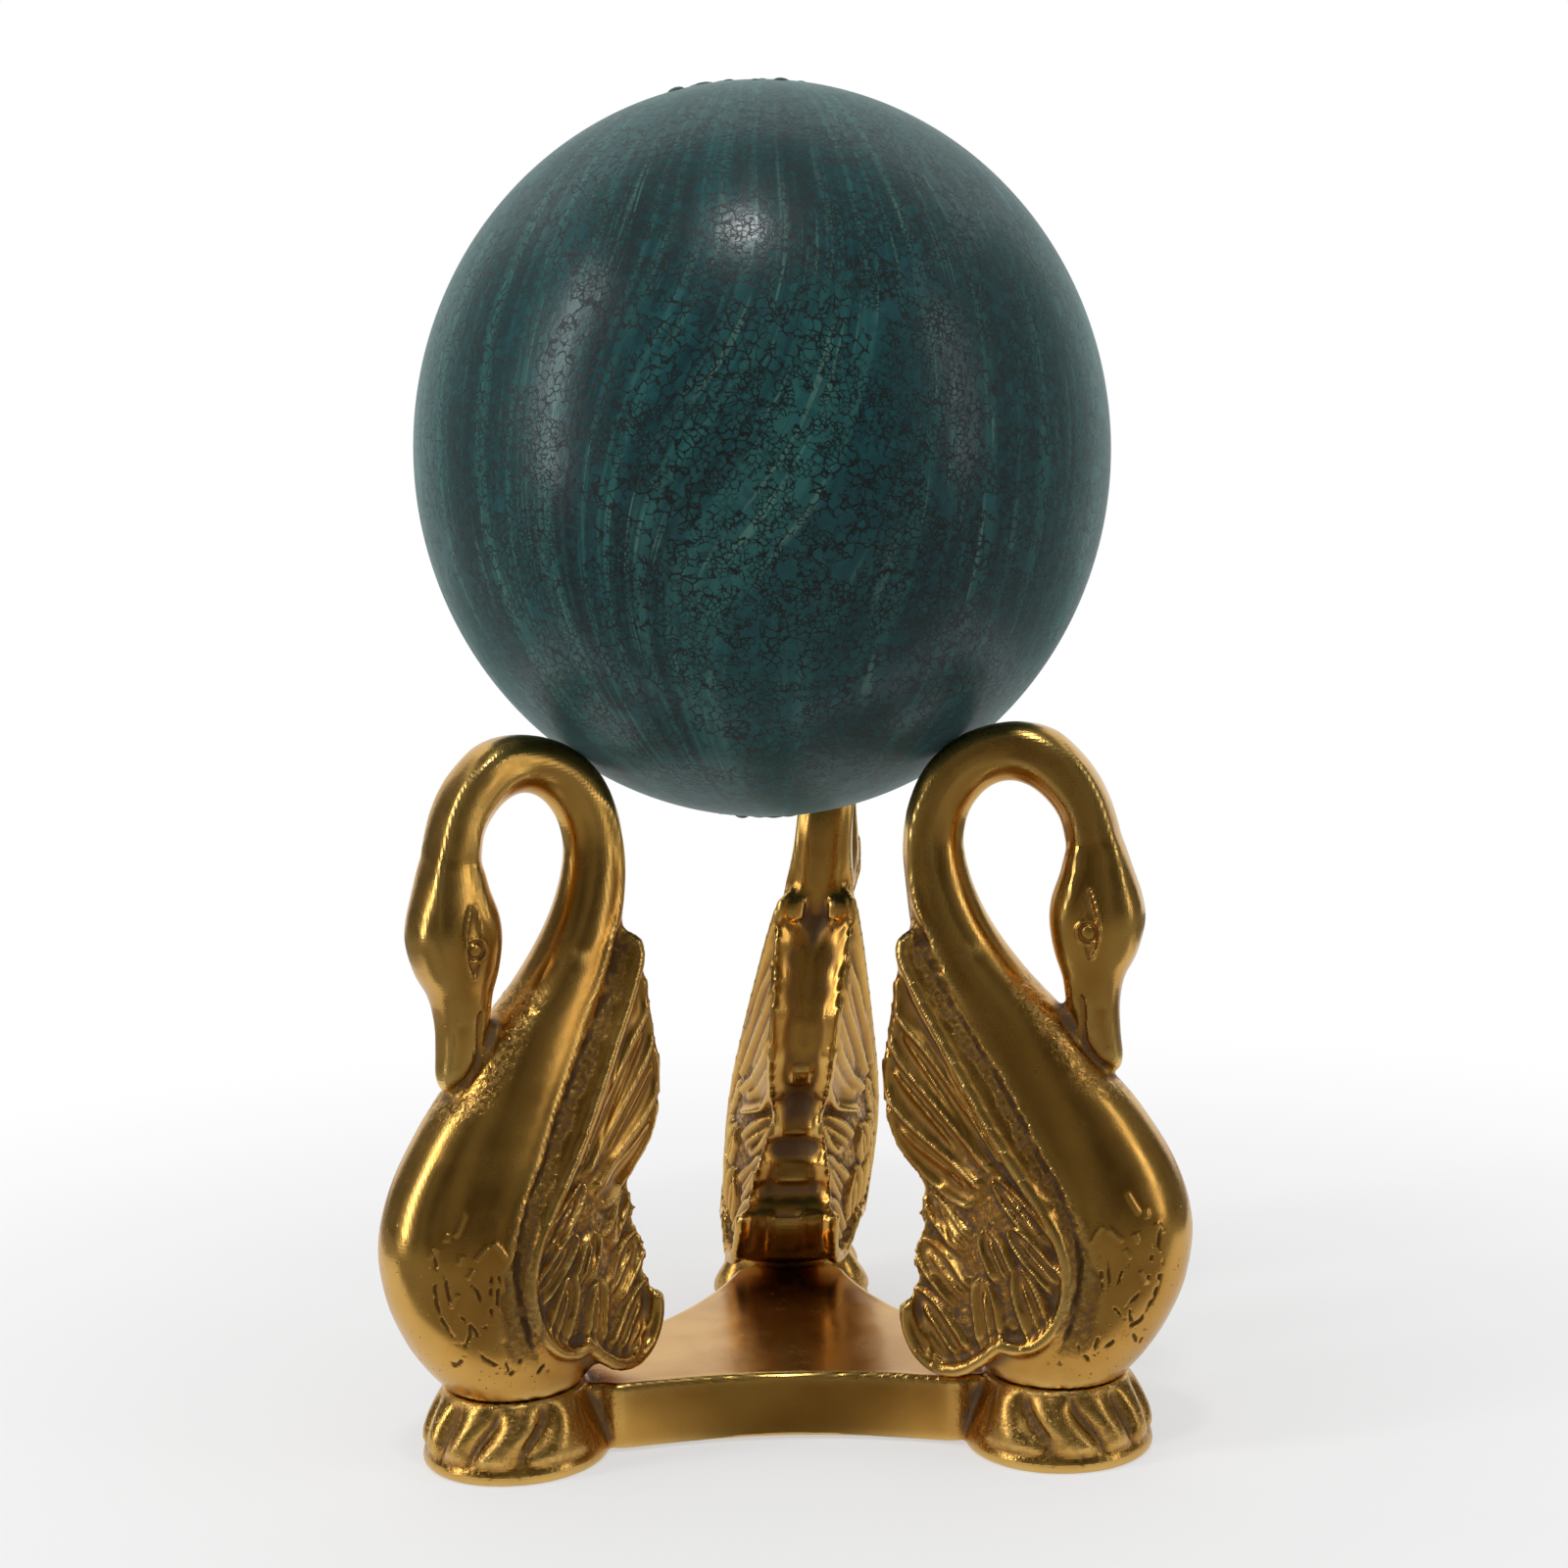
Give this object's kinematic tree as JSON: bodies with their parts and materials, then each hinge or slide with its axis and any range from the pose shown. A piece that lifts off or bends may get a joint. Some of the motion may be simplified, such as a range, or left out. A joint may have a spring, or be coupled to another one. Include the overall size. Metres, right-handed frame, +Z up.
{
  "type": "decorative sphere on stand",
  "caption": "Marbled ball resting loose on the arched necks of brass swans, which stand on the paw feet of a concave-sided tripod base; the ball lifts off.",
  "frame": {"origin": "on the stand's axis, in the plane of the plate's underside; the soles of the paw feet are 0.6 mm below it", "axes": "+Z up along the stand's axis, +Y towards the back swan, +X towards the right-hand swan as seen from the front"},
  "size_m": [0.1448, 0.1453, 0.2487],
  "materials": {
    "cast_brass": "polished on the raised edges, with brown patina and casting grain in the hollows",
    "fastener_steel": "plain turned steel",
    "marbled_paint": "teal and green marbled paint with a fine dark crackle under a satin varnish",
    "pooled_paint": "wooden filler plug under dark green pooled paint"
  },
  "bodies": {
    "stand": {"base_casting": "cast_brass", "swan_back": "cast_brass", "swan_front_left": "cast_brass", "swan_front_right": "cast_brass", "swan_screw_back": "fastener_steel", "swan_screw_front_left": "fastener_steel", "swan_screw_front_right": "fastener_steel", "screw_washer_back": "fastener_steel", "screw_washer_front_left": "fastener_steel", "screw_washer_front_right": "fastener_steel"},
    "ball": {"ball_core": "marbled_paint", "ball_top_plug": "pooled_paint", "ball_bottom_plug": "pooled_paint"}
  },
  "joints": [
    {"name": "ball_lift", "type": "slide", "parent": "stand", "child": "ball", "axis": [0, 0, 1], "range_m": [0, 0.06]}
  ]
}
